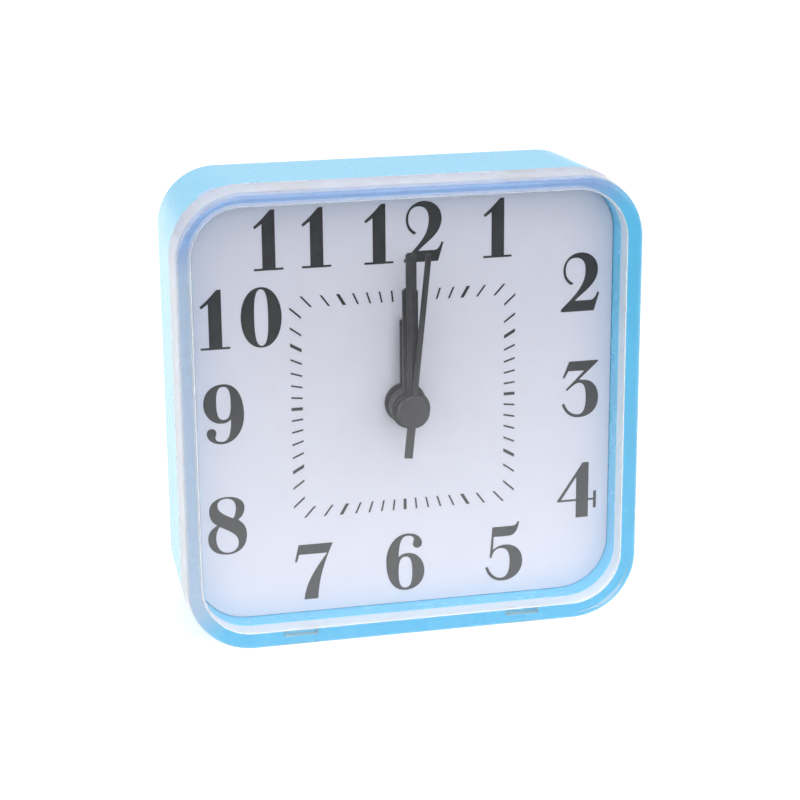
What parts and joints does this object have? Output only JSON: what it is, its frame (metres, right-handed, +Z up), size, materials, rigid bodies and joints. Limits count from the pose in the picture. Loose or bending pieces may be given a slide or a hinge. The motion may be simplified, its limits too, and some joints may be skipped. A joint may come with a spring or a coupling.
{
  "type": "pendulette clock",
  "caption": "Small square table alarm clock: tapered blue plastic case, clear push-fit front, white dial with numerals, hands and a quartz alarm movement with setting knobs behind.",
  "frame": {"origin": "middle of the whole clock in plan, on the plane that its flat base stands on", "axes": "+X to the right seen from the front, +Y towards the back, +Z up; the dial faces -Y"},
  "size_m": [0.076, 0.0318, 0.076],
  "materials": {
    "blue_plastic": "gloss",
    "clear_plastic": "polished, see-through",
    "dial_white": "satin",
    "dial_print": "printed ink",
    "hand_grey": "satin",
    "movement_plastic": "moulded",
    "plate_plastic": "moulded",
    "wheel_plastic": "moulded",
    "pinion_plastic": "moulded",
    "knob_plastic": "moulded",
    "steel": "bright",
    "silicon_steel": "stamped",
    "magnet": "sintered",
    "copper_wire": "enamelled",
    "brass": "satin",
    "ceramic": "fired",
    "board_green": "solder mask",
    "chip_black": "moulded",
    "spring_steel": "plated",
    "cell_jacket": "plain jacket",
    "wire_red": "insulation",
    "wire_black": "insulation"
  },
  "bodies": {
    "clock": {"case_shell": "blue_plastic", "front_cover": "clear_plastic", "dial_plate": "dial_white", "dial_numerals": "dial_print", "minute_track": "dial_print", "movement_front_plate": "plate_plastic", "movement_bridge": "plate_plastic", "movement_rear_housing": "movement_plastic", "case_screws": "steel", "movement_screws": "steel", "bridge_screws": "steel", "stator_plate": "silicon_steel", "coil_core": "silicon_steel", "coil_bobbin": "plate_plastic", "coil_winding": "copper_wire", "circuit_board": "board_green", "timer_chip": "chip_black", "quartz_crystal": "spring_steel", "positive_wire": "wire_red", "negative_wire": "wire_black", "buzzer_disc": "brass", "buzzer_ceramic": "ceramic", "buzzer_pins": "spring_steel", "alarm_contact_leaf": "spring_steel", "battery_cell": "cell_jacket", "positive_contact": "spring_steel", "negative_contact": "spring_steel"},
    "seconds": {"second_wheel": "wheel_plastic", "second_arbor": "steel", "second_hand": "hand_grey"},
    "intermediate": {"intermediate_wheel": "wheel_plastic"},
    "rotor": {"rotor_pinion": "pinion_plastic", "rotor_magnet": "magnet"},
    "third": {"third_wheel": "wheel_plastic"},
    "centre": {"centre_wheel": "wheel_plastic"},
    "minutes": {"minute_cannon": "brass", "minute_hand": "hand_grey"},
    "minute_idler": {"minute_idler": "wheel_plastic"},
    "hours": {"hour_wheel": "wheel_plastic", "hour_hand": "hand_grey"},
    "time_setter": {"time_set_spindle": "wheel_plastic", "time_set_knob": "knob_plastic"},
    "alarm_dial": {"alarm_wheel": "wheel_plastic", "alarm_hand": "hand_grey"},
    "alarm_idler": {"alarm_idler": "pinion_plastic"},
    "alarm_setter": {"alarm_set_spindle": "wheel_plastic", "alarm_set_knob": "knob_plastic"},
    "alarm_switch": {"alarm_switch": "knob_plastic"},
    "battery_door": {"battery_door": "blue_plastic"}
  },
  "joints": [
    {"name": "seconds_turn", "type": "hinge", "parent": "clock", "child": "seconds", "pos_m": [0, 0, 0.038], "axis": [0, 1, 0], "continuous": true},
    {"name": "intermediate_turn", "type": "hinge", "parent": "clock", "child": "intermediate", "pos_m": [0.00463, 0, 0.03248], "axis": [0, 1, 0], "continuous": true},
    {"name": "rotor_turn", "type": "hinge", "parent": "clock", "child": "rotor", "pos_m": [0.01121, 0, 0.03009], "axis": [0, 1, 0], "continuous": true},
    {"name": "third_turn", "type": "hinge", "parent": "clock", "child": "third", "pos_m": [-0.00918, 0, 0.038], "axis": [0, 1, 0], "continuous": true},
    {"name": "centre_turn", "type": "hinge", "parent": "clock", "child": "centre", "pos_m": [0, 0, 0.038], "axis": [0, 1, 0], "continuous": true},
    {"name": "minutes_turn", "type": "hinge", "parent": "clock", "child": "minutes", "pos_m": [0, 0, 0.038], "axis": [0, 1, 0], "continuous": true},
    {"name": "minute_idler_turn", "type": "hinge", "parent": "clock", "child": "minute_idler", "pos_m": [0.00509, 0, 0.04309], "axis": [0, 1, 0], "continuous": true},
    {"name": "hours_turn", "type": "hinge", "parent": "clock", "child": "hours", "pos_m": [0, 0, 0.038], "axis": [0, 1, 0], "continuous": true},
    {"name": "time_setter_turn", "type": "hinge", "parent": "clock", "child": "time_setter", "pos_m": [0.01018, 0, 0.04818], "axis": [0, 1, 0], "continuous": true},
    {"name": "alarm_dial_turn", "type": "hinge", "parent": "clock", "child": "alarm_dial", "pos_m": [0, 0, 0.038], "axis": [0, 1, 0], "continuous": true},
    {"name": "alarm_idler_turn", "type": "hinge", "parent": "clock", "child": "alarm_idler", "pos_m": [-0.00636, 0, 0.04436], "axis": [0, 1, 0], "continuous": true},
    {"name": "alarm_setter_turn", "type": "hinge", "parent": "clock", "child": "alarm_setter", "pos_m": [-0.01018, 0, 0.04818], "axis": [0, 1, 0], "continuous": true},
    {"name": "alarm_switch_slide", "type": "slide", "parent": "clock", "child": "alarm_switch", "axis": [1, 0, 0], "range_m": [0, 0.004]},
    {"name": "battery_door_hinge", "type": "hinge", "parent": "clock", "child": "battery_door", "pos_m": [0, 0.0123, 0.018], "axis": [1, 0, 0], "range_deg": [0, 60]}
  ],
  "couplings": [
    {"joint": "intermediate_turn", "follows": "seconds_turn", "ratio": -5},
    {"joint": "rotor_turn", "follows": "seconds_turn", "ratio": 30},
    {"joint": "third_turn", "follows": "seconds_turn", "ratio": -0.13333},
    {"joint": "centre_turn", "follows": "seconds_turn", "ratio": 0.016667},
    {"joint": "minute_idler_turn", "follows": "minutes_turn", "ratio": -0.33333},
    {"joint": "hours_turn", "follows": "minutes_turn", "ratio": 0.083333},
    {"joint": "time_setter_turn", "follows": "minutes_turn", "ratio": 1},
    {"joint": "alarm_idler_turn", "follows": "alarm_dial_turn", "ratio": -1.5},
    {"joint": "alarm_setter_turn", "follows": "alarm_dial_turn", "ratio": 3}
  ]
}
